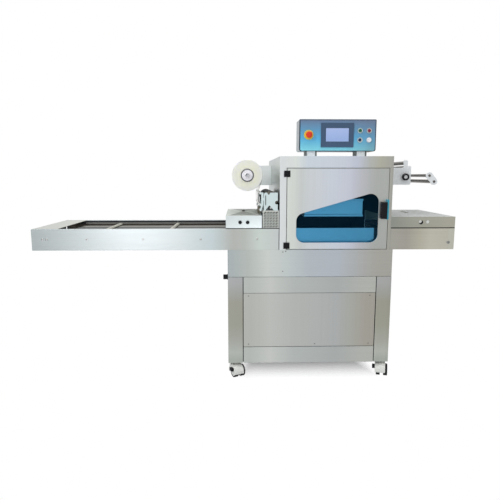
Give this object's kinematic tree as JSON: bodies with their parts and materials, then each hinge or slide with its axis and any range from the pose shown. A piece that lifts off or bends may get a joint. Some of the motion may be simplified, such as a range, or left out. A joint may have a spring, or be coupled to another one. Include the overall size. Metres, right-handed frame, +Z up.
{
  "type": "tray sealer",
  "caption": "Inline tray sealer: open infeed conveyor, glazed sealing cabinet with film reel and rewinder, hooded outfeed and a base on casters.",
  "frame": {"origin": "on the floor, in the middle of the overall length and of the overall depth", "axes": "+Z up, +X along the conveyor from infeed to outfeed, +Y from the door side to the back"},
  "size_m": [2.6, 1.095, 1.631],
  "materials": {
    "brushed_steel": "satin, brushed",
    "panel_steel": "satin, brushed",
    "door_steel": "satin, brushed",
    "blasted_steel": "matt, bead blasted",
    "tinted_pane": "clear, tinted blue",
    "black_plastic": "matt",
    "track_plastic": "matt",
    "chain_steel": "oiled",
    "flight_plastic": "matt",
    "cast_aluminium": "blasted",
    "black_rubber": "matt",
    "roller_steel": "ground",
    "film": "clear film",
    "film_roll": "wound clear film",
    "core_board": "matt",
    "white_plastic": "semi gloss",
    "blue_face": "semi gloss",
    "screen_dark": "gloss",
    "stop_red": "semi gloss",
    "button_mixed": "semi gloss"
  },
  "bodies": {
    "machine": {"base_cabinet": "brushed_steel", "base_frame": "brushed_steel", "base_panels": "panel_steel", "bed_housing": "brushed_steel", "buttons": "button_mixed", "cabinet_rear_wall": "brushed_steel", "cabinet_roof": "brushed_steel", "cabinet_side_walls": "brushed_steel", "caster_plates": "chain_steel", "chain_guides": "track_plastic", "control_box": "brushed_steel", "control_face": "blue_face", "conveyor_chains": "chain_steel", "cross_members": "panel_steel", "drive_roller": "black_rubber", "feed_plates": "cast_aluminium", "feed_rollers": "roller_steel", "film_web": "film", "flights": "flight_plastic", "frame_hinge_leaves": "black_plastic", "front_header": "brushed_steel", "front_stiles": "brushed_steel", "guard_box": "blasted_steel", "head_carrier": "panel_steel", "hood_sensors": "white_plastic", "infeed_end_cap": "brushed_steel", "infeed_side_panels": "brushed_steel", "inner_side_panel": "panel_steel", "lower_tool": "cast_aluminium", "outfeed_bed": "panel_steel", "outfeed_hood": "brushed_steel", "outfeed_side_panels": "brushed_steel", "plugs_and_knob": "black_plastic", "reel_support": "cast_aluminium", "rewind_plates": "blasted_steel", "sealing_head": "cast_aluminium", "side_switch": "black_plastic", "sprocket_shafts": "chain_steel", "stop_button": "stop_red", "touch_screen": "screen_dark", "tray_bed": "panel_steel", "vent_bridge": "blasted_steel", "vent_panel": "blasted_steel", "waste_rollers": "roller_steel"},
    "door": {"door_panel": "door_steel", "door_window": "tinted_pane", "door_fittings": "black_plastic"},
    "film_reel": {"reel_shaft": "white_plastic", "reel_core": "core_board", "film_roll": "film_roll"},
    "rewinder": {"rewind_shaft": "black_rubber"},
    "caster_1": {"caster_1_fork": "white_plastic"},
    "caster_1_wheel": {"caster_1_wheels": "black_rubber"},
    "caster_2": {"caster_2_fork": "white_plastic"},
    "caster_2_wheel": {"caster_2_wheels": "black_rubber"},
    "caster_3": {"caster_3_fork": "white_plastic"},
    "caster_3_wheel": {"caster_3_wheels": "black_rubber"},
    "caster_4": {"caster_4_fork": "white_plastic"},
    "caster_4_wheel": {"caster_4_wheels": "black_rubber"}
  },
  "joints": [
    {"name": "door_hinge", "type": "hinge", "parent": "machine", "child": "door", "pos_m": [0.2555, -0.5205, 1.082], "axis": [0, 0, -1], "range_deg": [0, 110]},
    {"name": "film_reel_spin", "type": "hinge", "parent": "machine", "child": "film_reel", "pos_m": [0.017, -0.3825, 1.2875], "axis": [0, 1, 0], "continuous": true},
    {"name": "rewind_spin", "type": "hinge", "parent": "machine", "child": "rewinder", "pos_m": [1.042, -0.3125, 1.277], "axis": [0, 1, 0], "continuous": true},
    {"name": "caster_1_swivel", "type": "hinge", "parent": "machine", "child": "caster_1", "pos_m": [-0.057, -0.4625, 0.0957], "axis": [0, 0, 1], "continuous": true},
    {"name": "caster_1_roll", "type": "hinge", "parent": "caster_1", "child": "caster_1_wheel", "pos_m": [-0.04701, -0.4821, 0.038], "axis": [0.891, 0.454, 0], "continuous": true},
    {"name": "caster_2_swivel", "type": "hinge", "parent": "machine", "child": "caster_2", "pos_m": [-0.057, 0.4975, 0.0957], "axis": [0, 0, 1], "continuous": true},
    {"name": "caster_2_roll", "type": "hinge", "parent": "caster_2", "child": "caster_2_wheel", "pos_m": [-0.04701, 0.4779, 0.038], "axis": [0.891, 0.454, 0], "continuous": true},
    {"name": "caster_3_swivel", "type": "hinge", "parent": "machine", "child": "caster_3", "pos_m": [0.896, -0.4625, 0.0957], "axis": [0, 0, 1], "continuous": true},
    {"name": "caster_3_roll", "type": "hinge", "parent": "caster_3", "child": "caster_3_wheel", "pos_m": [0.89031, -0.48375, 0.038], "axis": [0.9659, -0.2588, 0], "continuous": true},
    {"name": "caster_4_swivel", "type": "hinge", "parent": "machine", "child": "caster_4", "pos_m": [0.896, 0.4975, 0.0957], "axis": [0, 0, 1], "continuous": true},
    {"name": "caster_4_roll", "type": "hinge", "parent": "caster_4", "child": "caster_4_wheel", "pos_m": [0.89031, 0.47625, 0.038], "axis": [0.9659, -0.2588, 0], "continuous": true}
  ]
}
